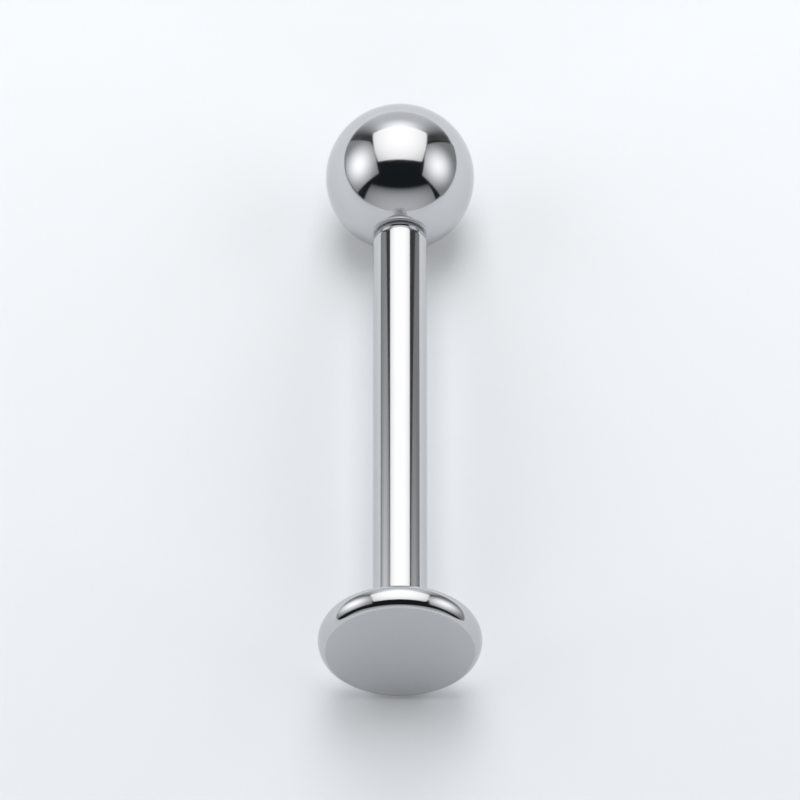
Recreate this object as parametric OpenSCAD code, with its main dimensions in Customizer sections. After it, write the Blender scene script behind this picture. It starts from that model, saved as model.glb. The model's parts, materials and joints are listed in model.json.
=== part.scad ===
// Labret stud: a flat disc back and a straight post in one piece of steel, and a ball that screws on.
// Millimetres. The stud lies on its side as it rests by itself, with the disc towards -Y.

/* [Bar] */
// Diameter of the post, 14 gauge
post_d = 1.6; // [1.5:0.05:2.4]
// Length of the post between the disc back and the shoulder, 9/16 inch as sold
bar_l = 14.22; // [6:0.01:20]
// Length over which the post rounds off towards the shoulder's edge
shoulder_l = 0.27; // [0.1:0.01:0.3]
// Slope of the post's side at the shoulder's edge
shoulder_slope = 18; // [10:1:25]
// Width of the bevel between the shoulder's edge and the post's end, measured across the axis
bevel_w = 0.05; // [0.01:0.01:0.06]
// Length of that bevel, measured along the axis
bevel_l = 0.11; // [0.02:0.01:0.2]
// Radius of the fillet where the post meets the disc back
root_fillet = 0.12; // [0.05:0.01:0.3]

/* [Disc back] */
// Diameter of the disc back
disc_d = 4.8; // [3.6:0.1:8]
// Thickness of the disc back
disc_t = 0.78; // [0.5:0.01:0.9]
// Width of the rounded rim beyond the flat face
rim_w = 0.24; // [0.18:0.01:0.3]
// Radius of the shallow arc round the outside of the rim
rim_side_r = 0.57; // [0.55:0.01:0.8]

/* [Screw] */
// Outer diameter of the thread
thread_d = 1.2; // [1:0.02:1.24]
// Pitch of the thread
thread_pitch = 0.25; // [0.2:0.01:0.35]
// Length of the threaded tip beyond the post's end
thread_l = 2; // [1.2:0.1:2.4]

/* [Ball] */
// Diameter of the ball
ball_d = 4.4; // [4:0.1:8]
// Diameter of the raised seat round the ball's hole
seat_d = 1.63; // [1.5:0.01:1.8]
// Height of the seat's face above the ball's surface at the seat's side
seat_h = 0.08; // [0.06:0.01:0.15]
// Bevel of the seat's edge
seat_bevel = 0.025; // [0.01:0.005:0.04]
// Depth that the ball's hole has beyond the threaded tip
hole_spare = 0.25; // [0.1:0.05:0.5]
// Angle of the drill point at the bottom of the hole
drill_angle = 118; // [90:1:140]

/* [Fit] */
// Gap between the post's end and the ball's seat
seat_gap = 0.02; // [0.01:0.01:0.05]
// Gap all round between the thread and the ball's hole
thread_gap = 0.03; // [0.02:0.01:0.05]

/* [Hidden] */
$fn = 96;

post_r = post_d / 2;
disc_r = disc_d / 2;
ball_r = ball_d / 2;
thread_r = thread_d / 2;
seat_r = seat_d / 2;

// Disc back: the flat face ends where a small corner arc meets the shallow side arc, both tangent.
flat_r = disc_r - rim_w;
half_t = disc_t / 2;
rim_corner_r = (2 * rim_w * rim_side_r - rim_w * rim_w - half_t * half_t) / (2 * (rim_side_r - half_t));
rim_centre_r = disc_r - rim_side_r;

// Places along the bar's axis, from the disc's outer face
shoulder_z = disc_t + bar_l;
thread_z = shoulder_z + bevel_l;
tip_z = thread_z + thread_l;

// Shoulder: the post's side ends in a shallow arc, tangent to it, and a bevel leads on to its flat end.
shoulder_arc_r = shoulder_l / sin(shoulder_slope);
shoulder_r = post_r - shoulder_arc_r * (1 - cos(shoulder_slope));
end_r = shoulder_r - bevel_w;

// Ball: its raised seat stands a small gap off the post's end.
hole_r = thread_r + thread_gap;
seat_z = thread_z + seat_gap;
ball_z = seat_z + seat_h + sqrt(ball_r * ball_r - seat_r * seat_r);
hole_l = tip_z - seat_z + hole_spare;
drill_l = hole_r / tan(drill_angle / 2);

// Thread: one helical ridge on a core, fading in and out at its ends.
thread_depth = 0.6 * thread_pitch;
core_r = thread_r - thread_depth;
root_half = 0.4 * thread_pitch;
crest_half = 0.07 * thread_pitch;
ridge_sink = 0.02;
ridge_end = 0.06;
turn_steps = 24;
fade_steps = 12;
ridge_l = thread_l - 2 * (root_half + ridge_end);
ridge_turns = ridge_l / thread_pitch;
ridge_steps = floor(ridge_turns * turn_steps);
tip_chamfer = 0.1;
tip_sink = 0.2;

// Resting place: the axis slopes down to the smaller ball, so that rim and ball both touch the floor.
ball_reach = ball_z - half_t;
rest_tilt = acos((ball_r - rim_side_r) / norm([rim_centre_r, ball_reach]))
    - atan2(ball_reach, rim_centre_r);
rest_height = rim_side_r + rim_centre_r * cos(rest_tilt) + half_t * sin(rest_tilt);
low_y = rim_corner_r * (cos(rest_tilt) - 1) - flat_r * sin(rest_tilt);
high_y = ball_z * cos(rest_tilt) + ball_r;

module lay_down() {
    translate([0, -(low_y + high_y) / 2, rest_height])
        rotate([-(90 + rest_tilt), 0, 0])
            children();
}

// The wedge of the side arc between the two points where the corner arcs touch it
module side_wedge() {
    reach = 4 * rim_side_r;
    run = flat_r - rim_centre_r;
    rise = half_t - rim_corner_r;
    polygon([
        [rim_centre_r, half_t],
        [rim_centre_r + reach * run, half_t - reach * rise],
        [rim_centre_r + reach * run + reach, half_t],
        [rim_centre_r + reach * run, half_t + reach * rise]
    ]);
}

module disc_section() {
    square([flat_r, disc_t]);
    for (z = [rim_corner_r, disc_t - rim_corner_r])
        translate([flat_r, z])
            circle(rim_corner_r);
    intersection() {
        translate([rim_centre_r, half_t])
            circle(rim_side_r);
        side_wedge();
    }
}

module disc_back() {
    rotate_extrude()
        disc_section();
}

module post_section() {
    square([post_r, shoulder_z - shoulder_l]);
    polygon([[0, 0], [shoulder_r, 0], [shoulder_r, shoulder_z], [end_r, thread_z], [0, thread_z]]);
    intersection() {
        translate([0, shoulder_z - shoulder_l])
            square([post_r, shoulder_l]);
        translate([post_r - shoulder_arc_r, shoulder_z - shoulder_l])
            circle(shoulder_arc_r);
    }
}

module fillet_section() {
    difference() {
        translate([0, half_t])
            square([post_r + root_fillet, half_t + root_fillet]);
        translate([post_r + root_fillet, disc_t + root_fillet])
            circle(root_fillet);
    }
}

module post() {
    rotate_extrude()
        post_section();
    rotate_extrude()
        fillet_section();
}

// Height of the ridge above the core at one step of the helix
function ridge_height(i) =
    thread_depth * max(0.02, min(1, i / fade_steps, (ridge_steps - i) / fade_steps));

// The four corners of the ridge's section at one step of the helix
function ridge_corners(i) =
    let (
        angle = 360 * i / turn_steps,
        z = root_half + ridge_end + i * thread_pitch / turn_steps,
        rise = ridge_height(i),
        half = root_half - (root_half - crest_half) * rise / thread_depth,
        corners = [
            [core_r - ridge_sink, -root_half],
            [core_r + rise, -half],
            [core_r + rise, half],
            [core_r - ridge_sink, root_half]
        ]
    )
    [for (c = corners) [c[0] * cos(angle), c[0] * sin(angle), z + c[1]]];

module thread_ridge() {
    points = [for (i = [0:ridge_steps]) each ridge_corners(i)];
    walls = [
        for (i = [0:ridge_steps - 1], k = [0:3])
            let (a = 4 * i + k, b = 4 * i + (k + 1) % 4)
            [a, b, b + 4, a + 4]
    ];
    last = 4 * ridge_steps;
    ends = [[3, 2, 1, 0], [last, last + 1, last + 2, last + 3]];
    polyhedron(points, concat(walls, ends), convexity = 10);
}

// The thread's core, sunk into the post at its root
module tip_section() {
    polygon([
        [0, thread_z - tip_sink],
        [core_r, thread_z - tip_sink],
        [core_r, tip_z - tip_chamfer],
        [core_r - tip_chamfer, tip_z],
        [0, tip_z]
    ]);
}

module threaded_tip() {
    rotate_extrude()
        tip_section();
    translate([0, 0, thread_z])
        thread_ridge();
}

module labret_bar() {
    color("silver")
        lay_down() {
            disc_back();
            post();
            threaded_tip();
        }
}

module ball_seat() {
    translate([0, 0, seat_z])
        cylinder(r1 = seat_r - seat_bevel, r2 = seat_r, h = seat_bevel);
    translate([0, 0, seat_z + seat_bevel])
        cylinder(r = seat_r, h = seat_h);
}

module ball_hole() {
    translate([0, 0, seat_z]) {
        translate([0, 0, -ball_r])
            cylinder(r = ball_r, h = ball_r);
        cylinder(r = hole_r, h = hole_l);
        translate([0, 0, hole_l])
            cylinder(r1 = hole_r, r2 = 0, h = drill_l);
    }
}

module ball() {
    color("gainsboro")
        lay_down()
            difference() {
                union() {
                    translate([0, 0, ball_z])
                        sphere(r = ball_r);
                    ball_seat();
                }
                ball_hole();
            }
}

labret_bar();
ball();
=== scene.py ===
# Labret stud of mirror-polished steel, lying on a pale studio sheet.
# The two pieces are turned as on a lathe, round the stud's own axis, from sizes in millimetres.

import json
import math

import bpy
from mathutils import Matrix, Vector


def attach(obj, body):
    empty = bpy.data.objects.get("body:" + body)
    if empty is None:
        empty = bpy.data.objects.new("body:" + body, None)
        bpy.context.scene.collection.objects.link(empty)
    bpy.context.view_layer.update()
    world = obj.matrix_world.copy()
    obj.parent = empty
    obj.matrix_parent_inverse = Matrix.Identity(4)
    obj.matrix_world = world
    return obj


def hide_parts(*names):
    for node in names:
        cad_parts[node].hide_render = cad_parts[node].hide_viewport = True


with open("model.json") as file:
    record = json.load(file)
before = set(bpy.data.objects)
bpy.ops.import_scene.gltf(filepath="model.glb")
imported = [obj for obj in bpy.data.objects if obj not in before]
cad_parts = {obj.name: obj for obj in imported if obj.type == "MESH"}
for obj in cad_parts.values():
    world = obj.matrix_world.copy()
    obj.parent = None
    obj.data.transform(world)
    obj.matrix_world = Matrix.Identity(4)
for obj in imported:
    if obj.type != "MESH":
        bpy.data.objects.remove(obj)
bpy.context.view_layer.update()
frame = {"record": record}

MM = 0.001
FULL_TURN = 2 * math.pi

# Sizes of the stud, in millimetres
DISC_D = 4.8
DISC_T = 0.78
RIM_W = 0.24
RIM_SIDE_R = 0.57
ROOT_FILLET = 0.12
SHOULDER_L = 0.27
SHOULDER_SLOPE = 18.0
END_BEVEL_W = 0.05
END_BEVEL_L = 0.11
THREAD_R = 0.6
THREAD_PITCH = 0.25
THREAD_DEPTH = 0.15
THREAD_L = 2.0
THREAD_FADE = 0.16
TIP_CHAMFER = 0.1
BALL_D = 4.4
SEAT_R = 0.815
SEAT_H = 0.08
SEAT_BEVEL = 0.025
HOLE_SPARE = 0.25
DRILL_ANGLE = 118.0
SEAT_GAP = 0.02
THREAD_GAP = 0.03
TAPPED_DEPTH = 0.04

# Fineness of the turned meshes
COLUMNS = 256
ARC_STEP = math.radians(4)
BALL_ARC_STEP = math.radians(1.5)
ROWS_PER_PITCH = 16

mounts = {m["name"]: m for m in frame["record"]["mounts"]}
face_centre = Vector(mounts["disc_face"]["pos_m"])
along = Vector(mounts["post"]["axis"]).normalized()
POST_R = mounts["post"]["dims"]["r_mm"]
BAR_L = mounts["post"]["dims"]["length_mm"]

# Places along the axis, in millimetres from the disc's outer face
SHOULDER_Z = DISC_T + BAR_L
THREAD_Z = SHOULDER_Z + END_BEVEL_L
TIP_Z = THREAD_Z + THREAD_L
SEAT_Z = THREAD_Z + SEAT_GAP

BALL_R = BALL_D / 2
HOLE_R = THREAD_R + THREAD_GAP
SEAT_FOOT_DEPTH = math.sqrt(BALL_R ** 2 - SEAT_R ** 2)
SEAT_DEPTH = SEAT_FOOT_DEPTH + SEAT_H
BALL_Z = SEAT_Z + SEAT_DEPTH
CORE_R = THREAD_R - THREAD_DEPTH


def placed_at(z):
    """The stud's own frame, with its origin on the axis, z millimetres from the disc's outer face."""
    across = Vector((1, 0, 0))
    above = along.cross(across)
    turn = Matrix((across, above, along)).transposed().to_4x4()
    return Matrix.Translation(face_centre + along * z * MM) @ turn


# Turned outlines: a stretch is a list of (radius, z, radial part of the normal, axial part of the normal).

def straight(start, end):
    run, rise = end[0] - start[0], end[1] - start[1]
    length = math.hypot(run, rise)
    normal = (rise / length, -run / length)
    return [(*start, *normal), (*end, *normal)]


def arc(centre, radius, start, end, step=ARC_STEP, hollow=False):
    """An arc from one angle to another, in radians, measured from the radial direction."""
    count = max(2, math.ceil(abs(end - start) / step))
    side = -1 if hollow else 1
    stretch = []
    for i in range(count + 1):
        angle = start + (end - start) * i / count
        c, s = math.cos(angle), math.sin(angle)
        stretch.append((max(0, centre[0] + radius * c), centre[1] + radius * s, side * c, side * s))
    return stretch


def turned_rows(stretch):
    """The rows of points and normals that a stretch of outline leaves as it turns once."""
    rows = []
    for r, z, normal_r, normal_z in stretch:
        at_axis = r < 1e-9
        row = []
        for column in range(1 if at_axis else COLUMNS):
            angle = FULL_TURN * column / COLUMNS
            c, s = math.cos(angle), math.sin(angle)
            radial = 0 if at_axis else normal_r
            row.append(((r * c, r * s, z), (radial * c, radial * s, normal_z)))
        rows.append(row)
    return rows


def helix_rows(start, end, fade, radius_at):
    """Rows of a surface whose radius follows a helix: radius_at takes the phase of the pitch and the fade."""
    count = math.ceil(abs(end - start) / THREAD_PITCH * ROWS_PER_PITCH)
    nudge = THREAD_PITCH / ROWS_PER_PITCH / 4
    side = 1 if end > start else -1
    low, high = min(start, end), max(start, end)

    def radius(angle, z):
        depth = max(0, min(1, (z - low) / fade, (high - z) / fade))
        return radius_at((z / THREAD_PITCH - angle / FULL_TURN) % 1, depth)

    rows = []
    for i in range(count + 1):
        z = start + (end - start) * i / count
        row = []
        for column in range(COLUMNS):
            angle = FULL_TURN * column / COLUMNS
            turn = nudge / THREAD_PITCH * FULL_TURN
            r = radius(angle, z)
            slope = (radius(angle, z + nudge) - radius(angle, z - nudge)) / (2 * nudge)
            swing = (radius(angle + turn, z) - radius(angle - turn, z)) / (2 * turn)
            c, s = math.cos(angle), math.sin(angle)
            normal = Vector((r * c + swing * s, r * s - swing * c, -r * slope)).normalized() * side
            row.append(((r * c, r * s, z), tuple(normal)))
        rows.append(row)
    return rows


def ridge_share(phase):
    """How high a thread with flat crests and roots stands, from 0 to 1, at a phase of its pitch."""
    root, crest = 0.1, 0.43
    distance = min(phase, 1 - phase)
    return max(0, min(1, (distance - root) / (crest - root)))


def turned_mesh(name, stretches, place):
    """One closed mesh from stretches of rows that follow on one another, with its exact normals."""
    points = []
    faces = []
    normals = []
    last_ids = None
    for rows in stretches:
        ids = last_ids
        for i, row in enumerate(rows):
            if ids is None or i > 0:
                ids = list(range(len(points), len(points) + len(row)))
                points += [place @ (Vector(p) * MM) for p, _ in row]
            if i > 0:
                join_rows(faces, normals, last_ids, ids, rows[i - 1], row)
            last_ids = ids
    turn = place.to_3x3()
    mesh = bpy.data.meshes.new(name)
    mesh.from_pydata(points, [], faces)
    mesh.shade_smooth()
    mesh.normals_split_custom_set([turn @ Vector(n) for n in normals])
    mesh.update()
    return mesh


def join_rows(faces, normals, low_ids, high_ids, low_row, high_row):
    """The faces between two rows, and the normals of their corners. A row on the axis is a single point."""
    columns = max(len(low_ids), len(high_ids))
    for j in range(columns):
        k = (j + 1) % columns
        if len(low_ids) == 1:
            corners = [(low_ids, low_row, 0), (high_ids, high_row, k), (high_ids, high_row, j)]
        elif len(high_ids) == 1:
            corners = [(low_ids, low_row, j), (low_ids, low_row, k), (high_ids, high_row, 0)]
        else:
            corners = [
                (low_ids, low_row, j),
                (low_ids, low_row, k),
                (high_ids, high_row, k),
                (high_ids, high_row, j),
            ]
        faces.append([ids[at] for ids, _, at in corners])
        normals.extend(row[at][1] for _, row, at in corners)


def add_piece(name, mesh, body, cad_node, material):
    """A piece that rides on a body and stands for the CAD solid of its own place and size."""
    piece = bpy.data.objects.new(name, mesh)
    bpy.context.scene.collection.objects.link(piece)
    mesh.materials.append(material)
    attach(piece, body)
    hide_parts(cad_node)
    return piece


# The disc back, post and threaded tip, in one piece

def disc_outline():
    disc_r, half_t = DISC_D / 2, DISC_T / 2
    flat_r = disc_r - RIM_W
    side_centre = (disc_r - RIM_SIDE_R, half_t)
    corner_r = (2 * RIM_W * RIM_SIDE_R - RIM_W ** 2 - half_t ** 2) / (2 * (RIM_SIDE_R - half_t))
    meet = math.atan2(half_t - corner_r, flat_r - side_centre[0])
    quarter = math.pi / 2
    foot = POST_R + ROOT_FILLET
    return [
        straight((0, 0), (flat_r, 0)),
        arc((flat_r, corner_r), corner_r, -quarter, -meet),
        arc(side_centre, RIM_SIDE_R, -meet, meet, step=ARC_STEP / 2),
        arc((flat_r, DISC_T - corner_r), corner_r, meet, quarter),
        straight((flat_r, DISC_T), (foot, DISC_T)),
        arc((foot, DISC_T + ROOT_FILLET), ROOT_FILLET, -quarter, -math.pi, hollow=True),
    ]


def post_outline():
    """The post, whose end rounds off a little, bevels and ends flat round the thread."""
    slope = math.radians(SHOULDER_SLOPE)
    shoulder_arc_r = SHOULDER_L / math.sin(slope)
    shoulder_start = (POST_R, SHOULDER_Z - SHOULDER_L)
    shoulder_centre = (POST_R - shoulder_arc_r, shoulder_start[1])
    shoulder = arc(shoulder_centre, shoulder_arc_r, 0, slope, step=ARC_STEP / 2)
    shoulder_edge = shoulder[-1][:2]
    corners = [shoulder_edge, (shoulder_edge[0] - END_BEVEL_W, THREAD_Z), (CORE_R, THREAD_Z)]
    ends = [straight(start, end) for start, end in zip(corners, corners[1:])]
    return [straight((POST_R, DISC_T + ROOT_FILLET), shoulder_start), shoulder] + ends


def thread_rows():
    return helix_rows(
        THREAD_Z,
        TIP_Z - TIP_CHAMFER,
        THREAD_FADE,
        lambda phase, depth: CORE_R + THREAD_DEPTH * depth * ridge_share(phase),
    )


def tip_outline():
    end_r = CORE_R - TIP_CHAMFER
    return [
        straight((CORE_R, TIP_Z - TIP_CHAMFER), (end_r, TIP_Z)),
        straight((end_r, TIP_Z), (0, TIP_Z)),
    ]


def make_bar(place, material):
    """The rows from the middle of the disc's face, over its rim and the post, to the end of the tip."""
    stretches = [turned_rows(s) for s in disc_outline() + post_outline()]
    stretches.append(thread_rows())
    stretches += [turned_rows(s) for s in tip_outline()]
    mesh = turned_mesh("labret_bar_turned", stretches, place)
    return add_piece("labret_bar_turned", mesh, "bar", "labret_bar", material)


# The ball with its tapped hole, measured from its own centre

def make_ball(place, material):
    """The rows from the bottom of the hole, out to the seat and over the ball to its far end."""
    mouth_z = -SEAT_DEPTH
    floor_z = mouth_z + TIP_Z - SEAT_Z + HOLE_SPARE
    apex_z = floor_z + HOLE_R / math.tan(math.radians(DRILL_ANGLE / 2))
    tapped = helix_rows(
        floor_z,
        mouth_z,
        THREAD_FADE,
        lambda phase, depth: HOLE_R + TAPPED_DEPTH * depth * ridge_share(phase),
    )
    seat_side = (SEAT_R, -SEAT_FOOT_DEPTH)
    seat = [(HOLE_R, mouth_z), (SEAT_R - SEAT_BEVEL, mouth_z), (SEAT_R, mouth_z + SEAT_BEVEL), seat_side]
    start = math.atan2(-SEAT_FOOT_DEPTH, SEAT_R)
    stretches = [
        turned_rows(straight((0, apex_z), (HOLE_R, floor_z))),
        tapped,
    ]
    stretches += [turned_rows(straight(a, b)) for a, b in zip(seat, seat[1:])]
    stretches.append(turned_rows(arc((0, 0), BALL_R, start, math.pi / 2, step=BALL_ARC_STEP)))
    mesh = turned_mesh("ball_turned", stretches, place)
    return add_piece("ball_turned", mesh, "ball", "ball", material)


# Node helpers

def node(tree, kind, inputs=None, **settings):
    made = tree.nodes.new(kind)
    for name, value in settings.items():
        setattr(made, name, value)
    for name, value in (inputs or {}).items():
        socket = made.inputs[name]
        if isinstance(value, bpy.types.NodeSocket):
            tree.links.new(value, socket)
        else:
            socket.default_value = value
    return made


def calculate(tree, operation, a, b=0.0, c=0.0):
    return node(tree, "ShaderNodeMath", {0: a, 1: b, 2: c}, operation=operation).outputs[0]


def remap(tree, value, from_low, from_high, to_low, to_high, smooth=False):
    ranges = {
        "Value": value,
        "From Min": from_low,
        "From Max": from_high,
        "To Min": to_low,
        "To Max": to_high,
    }
    kind = "SMOOTHSTEP" if smooth else "LINEAR"
    return node(tree, "ShaderNodeMapRange", ranges, interpolation_type=kind).outputs["Result"]


def group_with(name, inputs, outputs):
    """A new shader node group, with its input and output nodes. Each socket is (name, kind)."""
    tree = bpy.data.node_groups.new(name, "ShaderNodeTree")
    for socket, kind in inputs:
        tree.interface.new_socket(socket, in_out="INPUT", socket_type=kind)
    for socket, kind in outputs:
        tree.interface.new_socket(socket, in_out="OUTPUT", socket_type=kind)
    return tree, tree.nodes.new("NodeGroupInput").outputs, tree.nodes.new("NodeGroupOutput").inputs


def use_group(tree, group, inputs):
    made = tree.nodes.new("ShaderNodeGroup")
    made.node_tree = group
    for name, value in inputs.items():
        if isinstance(value, bpy.types.NodeSocket):
            tree.links.new(value, made.inputs[name])
        else:
            made.inputs[name].default_value = value
    return made.outputs


# Shared finishes of the steel. Places, sizes and the depth of the lines are in metres, and scales are counts
# for each metre. A scratch is deeper than the polishing lines by the factor that SCRATCH_DEPTH gives.

STEEL_COLOUR = (0.586, 0.591, 0.603)
STEEL_EDGE_TINT = (0.93, 0.935, 0.94)
STEEL_ROUGHNESS = (0.075, 0.095)
SATIN_ROUGHNESS = 0.3
SATIN_DULLING = 0.03
SATIN_EDGE = 2e-6
BUMP_STRENGTH = 0.25
LINE_DEPTH = 2e-7
LINE_ROUGHNESS = 0.01
LINE_DRIFT = 6.0
DRIFT_SCALE = 900.0
SMUDGE_DULLING = 0.015
SMUDGE_RANGE = (0.35, 0.7)
SCRATCH_DEPTH = 1.5
SCRATCH_WIDTH = 0.006
SCRATCH_SCALE = 2600.0
SCRATCH_BEND = 2.5
BAR_LINE_SPACING = 2.5e-5
BAR_SMUDGE_SIZE = 1.6e-3
BALL_LINE_SPACING = 4e-5
BALL_SMUDGE_SIZE = 2.2e-3


def lathe_polish_group():
    """Faint polishing lines that run round the axis, broken here and there."""
    tree, given, wanted = group_with(
        "lathe polish",
        [("Place", "NodeSocketVector"), ("Spacing", "NodeSocketFloat")],
        [("Height", "NodeSocketFloat")],
    )
    place = node(tree, "ShaderNodeSeparateXYZ", {0: given["Place"]}).outputs
    square_x = calculate(tree, "MULTIPLY", place["X"], place["X"])
    square_r = calculate(tree, "MULTIPLY_ADD", place["Y"], place["Y"], square_x)
    radius = calculate(tree, "SQRT", square_r)
    drift = node(tree, "ShaderNodeTexNoise", {"Vector": given["Place"], "Scale": DRIFT_SCALE, "Detail": 1.0})
    turned = node(
        tree,
        "ShaderNodeCombineXYZ",
        {
            "X": calculate(tree, "DIVIDE", radius, given["Spacing"]),
            "Y": calculate(tree, "DIVIDE", place["Z"], given["Spacing"]),
            "Z": calculate(tree, "MULTIPLY", drift.outputs[0], LINE_DRIFT),
        },
    )
    lines = node(
        tree,
        "ShaderNodeTexNoise",
        {"Vector": turned.outputs[0], "Scale": 1.0, "Detail": 3.0, "Roughness": 0.6},
    )
    tree.links.new(lines.outputs[0], wanted["Height"])
    return tree


def handling_group():
    """Soft smudges and a few hair-fine scratches, as on steel that has been handled."""
    tree, given, wanted = group_with(
        "handling",
        [("Place", "NodeSocketVector"), ("Smudge Size", "NodeSocketFloat")],
        [("Smudge", "NodeSocketFloat"), ("Scratch", "NodeSocketFloat")],
    )
    scale = calculate(tree, "DIVIDE", 1.0, given["Smudge Size"])
    smudge = node(
        tree,
        "ShaderNodeTexNoise",
        {"Vector": given["Place"], "Scale": scale, "Detail": 4.0, "Roughness": 0.55},
    )
    spread = remap(tree, smudge.outputs[0], *SMUDGE_RANGE, 0.0, 1.0, smooth=True)
    tree.links.new(spread, wanted["Smudge"])
    streak = node(
        tree,
        "ShaderNodeTexNoise",
        {"Vector": given["Place"], "Scale": SCRATCH_SCALE, "Detail": 0.0, "Distortion": SCRATCH_BEND},
    )
    off_line = calculate(tree, "ABSOLUTE", calculate(tree, "SUBTRACT", streak.outputs[0], 0.5))
    tree.links.new(remap(tree, off_line, 0.0, SCRATCH_WIDTH, 1.0, 0.0), wanted["Scratch"])
    return tree


def own_place(tree, place):
    """The surface's place in the piece's own frame, with Z along the axis."""
    back = place.inverted()
    turned = {
        "Vector": node(tree, "ShaderNodeTexCoord").outputs["Object"],
        "Location": back.translation,
        "Rotation": back.to_euler(),
    }
    return node(tree, "ShaderNodeMapping", turned).outputs[0]


def satin_share(tree, place, polished):
    """1 on the faces that are left satin, below and above the polished stretch along the axis, in metres."""
    low, high = polished
    along_axis = node(tree, "ShaderNodeSeparateXYZ", {0: place}).outputs["Z"]
    below = remap(tree, along_axis, low, low + SATIN_EDGE, 1.0, 0.0)
    above = remap(tree, along_axis, high, high + SATIN_EDGE, 0.0, 1.0)
    return calculate(tree, "ADD", below, above)


def mirror_steel(name, place, line_spacing, smudge_size, groups, polished):
    """Mirror-polished surgical steel, with a satin finish beyond the polished stretch along its axis."""
    polish, handling = groups
    material = bpy.data.materials.new(name)
    material.use_nodes = True
    tree = material.node_tree
    surface = tree.nodes["Principled BSDF"]
    place = own_place(tree, place)
    lines = use_group(tree, polish, {"Place": place, "Spacing": line_spacing})
    touch = use_group(tree, handling, {"Place": place, "Smudge Size": smudge_size})
    satin = satin_share(tree, place, polished)
    dulling = calculate(tree, "MULTIPLY", satin, SATIN_DULLING)
    dulling = calculate(tree, "MULTIPLY_ADD", touch["Smudge"], SMUDGE_DULLING, dulling)
    tint = node(tree, "ShaderNodeMix", {0: dulling}, data_type="RGBA")
    tint.inputs["A"].default_value = (*STEEL_COLOUR, 1)
    tint.inputs["B"].default_value = (0, 0, 0, 1)
    haze = remap(tree, touch["Smudge"], 0.0, 1.0, *STEEL_ROUGHNESS)
    grain = calculate(tree, "MULTIPLY_ADD", lines["Height"], LINE_ROUGHNESS, haze)
    grain = calculate(tree, "MULTIPLY_ADD", satin, SATIN_ROUGHNESS, grain)
    height = calculate(tree, "MULTIPLY_ADD", touch["Scratch"], -SCRATCH_DEPTH, lines["Height"])
    bump = node(
        tree,
        "ShaderNodeBump",
        {"Height": height, "Strength": BUMP_STRENGTH, "Distance": LINE_DEPTH},
    )
    surface.inputs["Metallic"].default_value = 1.0
    surface.inputs["Specular Tint"].default_value = (*STEEL_EDGE_TINT, 1)
    tree.links.new(tint.outputs["Result"], surface.inputs["Base Color"])
    tree.links.new(grain, surface.inputs["Roughness"])
    tree.links.new(bump.outputs[0], surface.inputs["Normal"])
    return material


# The studio: a pale sheet, soft boxes above and at each side, a lit wall behind and a grey card in front.
# Their sizes are shares of each one's distance from the stud, so they keep their places in the reflections.
# The steel mirrors the cards, and the lamps that go with them light the sheet. Distances are in metres.

STAGE_CENTRE = Vector((0, 0.0075, 0.0022))
SIDE_BOX_DISTANCE = 0.045
SIDE_LAMP_DISTANCE = 0.2
HOT_SPOT_REACH = math.radians(35)
GREY_CARD = (1.06, 1.088, 1.128)
PALE_CARD = (1.075, 1.078, 1.1)
WHITE_CARD = (1.16, 1.145, 1.14)
OVERHEAD_LAMP = 3.1
SIDE_LAMP = 1.25
WALL_LAMP = 1.8
FRONT_LAMP = 2.1
# The sheet's colour is darker near the viewer than far off: painted shade, standing for dimmer light there.
FLOOR_NEAR_SHADED = (0.808, 0.816, 0.82)
FLOOR_FAR = (0.888, 0.89, 0.887)
FLOOR_SHADE_FADE = (-0.016, 0.016)
FLOOR_HALF = 1.5
FLOOR_ROUGHNESS = 0.9
FLOOR_SPECULAR = 0.1
TOOTH_SCALE = 9000.0
TOOTH_DEPTH = 1e-6
TOOTH_STRENGTH = 0.05
DARK_ROOM = (0.0125, 0.0155, 0.0175)
PALE_ROOM = (0.8, 0.83, 0.85)


def stage_mesh(name, points, faces, material):
    """A mesh of the studio, which isn't part of the stud."""
    mesh = bpy.data.meshes.new(name)
    mesh.from_pydata(points, [], faces)
    mesh.materials.append(material)
    piece = bpy.data.objects.new(name, mesh)
    bpy.context.scene.collection.objects.link(piece)
    return piece


def add_card(name, distance, outline, material, faces=None):
    """A card that steel mirrors. The outline's points are shares of its distance from the stage's centre."""
    points = [STAGE_CENTRE + Vector(p) * distance for p in outline]
    card = stage_mesh(name, points, faces or [range(len(points))], material)
    card.visible_camera = False
    card.visible_diffuse = False
    card.visible_shadow = False
    return card


def add_lamp(name, distance, outline, strength):
    """A flat lamp for the sheet, which steel doesn't mirror."""
    points = [STAGE_CENTRE + Vector(p) * distance for p in outline]
    lamp = stage_mesh(name, points, [range(len(points))], glow_material(name, strength, GREY_CARD))
    lamp.visible_camera = False
    lamp.visible_glossy = False
    lamp.visible_shadow = False
    return lamp


def glow_material(name, strength, colour):
    """An emission. The strength is a number, or a function that works it out for each place."""
    material = bpy.data.materials.new(name)
    material.use_nodes = True
    tree = material.node_tree
    tree.nodes.clear()
    output = tree.nodes.new("ShaderNodeOutputMaterial")
    if callable(strength):
        place = node(tree, "ShaderNodeTexCoord").outputs["Object"]
        shifted = node(tree, "ShaderNodeVectorMath", {0: place, 1: STAGE_CENTRE}, operation="SUBTRACT")
        strength = strength(tree, shifted.outputs[0])
    glow = node(tree, "ShaderNodeEmission", {"Color": (*colour, 1), "Strength": strength})
    tree.links.new(glow.outputs[0], output.inputs["Surface"])
    return material


def hot_spot(tree, place, direction, reach):
    """1 in one direction from the stage's centre, fading smoothly to 0 at an angle of reach."""
    towards = node(tree, "ShaderNodeVectorMath", {0: place}, operation="NORMALIZE").outputs[0]
    aim = Vector(direction).normalized()
    likeness = node(tree, "ShaderNodeVectorMath", {0: towards, 1: aim}, operation="DOT_PRODUCT")
    angle = calculate(tree, "ARCCOSINE", likeness.outputs["Value"])
    return remap(tree, angle, 0.0, reach, 1.0, 0.0, smooth=True)


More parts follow.
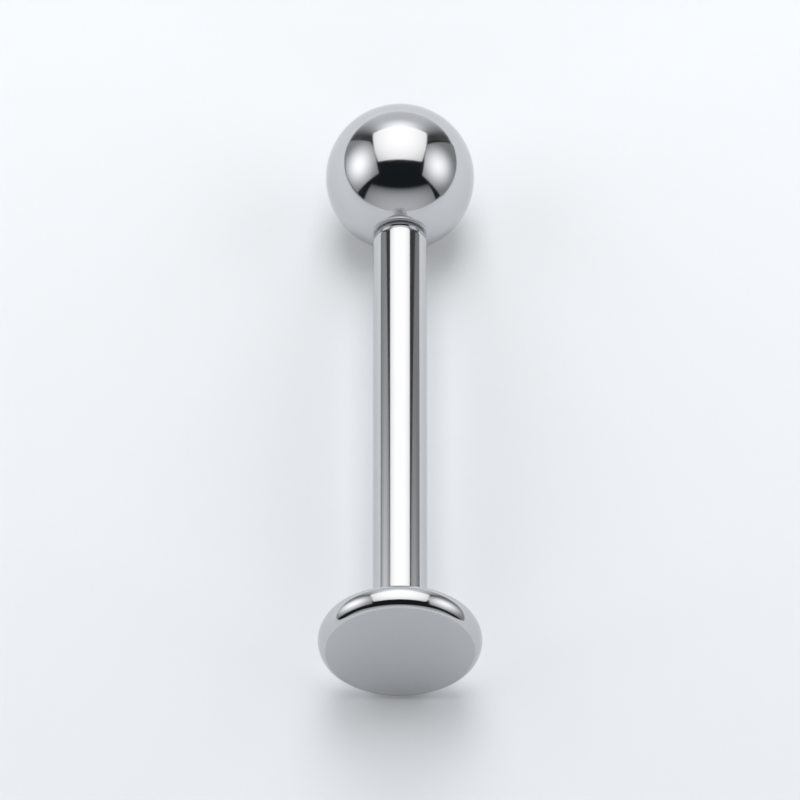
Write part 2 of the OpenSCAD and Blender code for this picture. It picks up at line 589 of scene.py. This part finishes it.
def overhead_box():
    """A sloping soft box above, brightest in its middle. It dims to its sides, and to its near edge."""
    distance = 0.25
    height, slope = 1.442, -0.323
    front_y, back_y = -0.21, 1.36
    brightness, side_fall, near_fall = 1.53, 0.44, 0.4
    near_fall_start = 0.8
    lamp_half_w, lamp_back_y = 0.42, 1.1

    def z_at(y):
        return height + slope * y

    def outline(half_w, back):
        corners = ((-half_w, front_y), (half_w, front_y), (half_w, back), (-half_w, back))
        return [(x, y, z_at(y)) for x, y in corners]

    def glow(tree, place):
        x, y, _ = node(tree, "ShaderNodeSeparateXYZ", {0: place}).outputs
        side = calculate(tree, "DIVIDE", x, distance)
        sides = calculate(tree, "MULTIPLY", side, side)
        near = remap(tree, y, near_fall_start * distance, front_y * distance, 0.0, 1.0)
        dim = calculate(tree, "MULTIPLY_ADD", sides, -side_fall, brightness)
        return calculate(tree, "MULTIPLY_ADD", calculate(tree, "MULTIPLY", near, near), -near_fall, dim)

    add_card("overhead_box", distance, outline(1, back_y), glow_material("overhead glow", glow, WHITE_CARD))
    add_lamp("overhead_lamp", distance, outline(lamp_half_w, lamp_back_y), OVERHEAD_LAMP)


def side_box(name, side, outline, hot, glow_range):
    """A soft box beside the stud, with one hot spot. Its outline and hot spot are (y, z) places."""
    def glow(tree, place):
        spot = hot_spot(tree, place, (side, *hot), HOT_SPOT_REACH)
        return remap(tree, spot, 0.0, 1.0, *glow_range)

    outline = [(side, y, z) for y, z in outline]
    add_card(f"{name}_box", SIDE_BOX_DISTANCE, outline, glow_material(f"{name} glow", glow, PALE_CARD))
    add_lamp(f"{name}_lamp", SIDE_LAMP_DISTANCE, outline, SIDE_LAMP)


def side_boxes():
    left = [
        (-0.47, 0.04),
        (-0.74, 1.38),
        (-0.1, 1.42),
        (0.25, 1.38),
        (0.55, 1.24),
        (0.75, 1.02),
        (0.78, 0.65),
        (0.86, 0.04),
    ]
    right = [(-0.57, -0.02), (-0.78, 1.25), (0.0, 1.36), (0.3, 1.32), (0.64, 1.2), (0.79, -0.02)]
    side_box("left", -1, left, hot=(0.03, 0.51), glow_range=(0.33, 1.65))
    side_box("right", 1, right, hot=(-0.05, 0.61), glow_range=(0.28, 1.51))


def back_wall():
    """A wall with raised corners. It is grey near the floor, and lit in the middle of its upper part."""
    distance = 0.3
    half_w, top, corner_top, foot = 1.25, 0.8, 1.3, -0.02
    grey_glow, upper_grey_glow, side_share = 0.7, 0.06, 0.12
    middle_glow, middle_side_glow, floor_glow = 1.47, 0.05, 0.09
    side_start, rise_start = 0.3, 0.35
    floor_glow_fade = (0.06 * distance, 0.12 * distance)
    lamp_half_w = 0.76

    def glow(tree, place):
        x, _, z = node(tree, "ShaderNodeSeparateXYZ", {0: place}).outputs
        off = calculate(tree, "ABSOLUTE", x)
        sides = remap(tree, off, side_start * distance, distance, 1.0, side_share, smooth=True)
        rise = remap(tree, z, rise_start * distance, top * distance, 0.0, 1.0, smooth=True)
        grey = remap(tree, rise, 0.0, 1.0, grey_glow, upper_grey_glow)
        plain = calculate(tree, "MULTIPLY", grey, sides)
        middle = remap(tree, off, 0.0, distance, middle_glow, middle_side_glow, smooth=True)
        near_floor = remap(tree, z, *floor_glow_fade, floor_glow, 0.0)
        return calculate(tree, "ADD", calculate(tree, "MULTIPLY_ADD", rise, middle, plain), near_floor)

    half = [(half_w, foot), (half_w, corner_top), (0.84, corner_top), (0.8, top)]
    outline = [(x, 1, z) for x, z in half] + [(-x, 1, z) for x, z in reversed(half)]
    add_card("back_wall", distance, outline, glow_material("wall glow", glow, GREY_CARD))
    lamp = [(-lamp_half_w, 0), (lamp_half_w, 0), (lamp_half_w, top), (-lamp_half_w, top)]
    add_lamp("back_lamp", distance, [(x, 1, z) for x, z in lamp], WALL_LAMP)


def front_card():
    """A bowed grey card on the viewer's side, which fades out upwards and a little to its sides."""
    distance = 0.25
    half_w, top, foot = 1.1, 0.8, -0.05
    columns = 12
    bow = 0.13
    brightness, side_fall, rise_power = 0.6, 0.5, 2.7
    lamp_top = 0.5

    def glow(tree, place):
        x, _, z = node(tree, "ShaderNodeSeparateXYZ", {0: place}).outputs
        off = calculate(tree, "DIVIDE", x, half_w * distance)
        sides = calculate(tree, "MULTIPLY_ADD", calculate(tree, "MULTIPLY", off, off), -side_fall, 1.0)
        up = calculate(tree, "POWER", calculate(tree, "DIVIDE", z, top * distance), rise_power)
        fall = calculate(tree, "MULTIPLY_ADD", up, -brightness, brightness)
        return calculate(tree, "MULTIPLY", fall, sides)

    outline = []
    for i in range(columns + 1):
        x = half_w * (2 * i / columns - 1)
        y = -(1 - bow * x * x)
        outline += [(x, y, foot), (x, y, top)]
    faces = [(2 * i, 2 * i + 2, 2 * i + 3, 2 * i + 1) for i in range(columns)]
    add_card("front_card", distance, outline, glow_material("front glow", glow, GREY_CARD), faces)
    lamp = [(-1, 0), (1, 0), (1, lamp_top), (-1, lamp_top)]
    add_lamp("front_lamp", distance, [(x, -1, z) for x, z in lamp], FRONT_LAMP)


def add_floor():
    """The pale sheet, with a fine tooth, and with painted shade: its colour is made a little darker towards
    the viewer.
    """
    material = bpy.data.materials.new("pale sheet")
    material.use_nodes = True
    tree = material.node_tree
    surface = tree.nodes["Principled BSDF"]
    place = node(tree, "ShaderNodeTexCoord").outputs["Object"]
    tooth = node(tree, "ShaderNodeTexNoise", {"Vector": place, "Scale": TOOTH_SCALE, "Detail": 2.0})
    bump = node(
        tree,
        "ShaderNodeBump",
        {"Height": tooth.outputs[0], "Strength": TOOTH_STRENGTH, "Distance": TOOTH_DEPTH},
    )
    depth = node(tree, "ShaderNodeSeparateXYZ", {0: place}).outputs["Y"]
    # Painted shade: the sheet's own colour darkens towards the viewer, in place of light that dims there.
    back = remap(tree, depth, *FLOOR_SHADE_FADE, 0.0, 1.0, smooth=True)
    painted_shade = node(tree, "ShaderNodeMix", {0: back}, data_type="RGBA")
    painted_shade.inputs["A"].default_value = (*FLOOR_NEAR_SHADED, 1)
    painted_shade.inputs["B"].default_value = (*FLOOR_FAR, 1)
    tree.links.new(painted_shade.outputs["Result"], surface.inputs["Base Color"])
    surface.inputs["Roughness"].default_value = FLOOR_ROUGHNESS
    surface.inputs["Specular IOR Level"].default_value = FLOOR_SPECULAR
    tree.links.new(bump.outputs[0], surface.inputs["Normal"])
    h = FLOOR_HALF
    points = [(-h, -h, 0), (h, -h, 0), (h, h, 0), (-h, h, 0)]
    stage_mesh("floor", points, [range(4)], material)


def set_room():
    """The room is dark where the steel mirrors it, and pale where the camera sees past the floor."""
    world = bpy.data.worlds.new("room")
    world.use_nodes = True
    tree = world.node_tree
    seen = node(tree, "ShaderNodeLightPath").outputs["Is Camera Ray"]
    mix = node(tree, "ShaderNodeMix", {0: seen}, data_type="RGBA")
    mix.inputs["A"].default_value = (*DARK_ROOM, 1)
    mix.inputs["B"].default_value = (*PALE_ROOM, 1)
    tree.links.new(mix.outputs["Result"], tree.nodes["Background"].inputs["Color"])
    bpy.context.scene.world = world


# The camera aims at a place along the stud's axis, in millimetres from the disc's outer face.

CAMERA_ELEVATION = math.radians(54.4)
CAMERA_DISTANCE = 0.5287
CAMERA_LENS = 810
CAMERA_TARGET_Z = 9.0805
CAMERA_CLIP = (0.05, 5)


def add_camera():
    target = face_centre + along * CAMERA_TARGET_Z * MM
    towards = Vector((0, -math.cos(CAMERA_ELEVATION), math.sin(CAMERA_ELEVATION)))
    data = bpy.data.cameras.new("camera")
    data.lens = CAMERA_LENS
    data.clip_start, data.clip_end = CAMERA_CLIP
    camera = bpy.data.objects.new("camera", data)
    bpy.context.scene.collection.objects.link(camera)
    camera.location = target + towards * CAMERA_DISTANCE
    camera.rotation_euler = towards.to_track_quat("Z", "Y").to_euler()
    bpy.context.scene.camera = camera


# The stud, with each piece's polished stretch along its axis, and the studio round it

FACE_MARGIN = 0.001
END_MARGIN = 0.003

groups = (lathe_polish_group(), handling_group())
bar_place = placed_at(0)
ball_place = placed_at(BALL_Z)
bar_polish = (FACE_MARGIN * MM, (SHOULDER_Z + END_MARGIN) * MM)
ball_polish = (-(SEAT_FOOT_DEPTH + END_MARGIN) * MM, BALL_R * MM)
bar_steel = mirror_steel("bar steel", bar_place, BAR_LINE_SPACING, BAR_SMUDGE_SIZE, groups, bar_polish)
ball_steel = mirror_steel("ball steel", ball_place, BALL_LINE_SPACING, BALL_SMUDGE_SIZE, groups, ball_polish)
make_bar(bar_place, bar_steel)
make_ball(ball_place, ball_steel)
add_floor()
overhead_box()
side_boxes()
back_wall()
front_card()
set_room()
add_camera()
bpy.context.scene.view_settings.view_transform = "Standard"
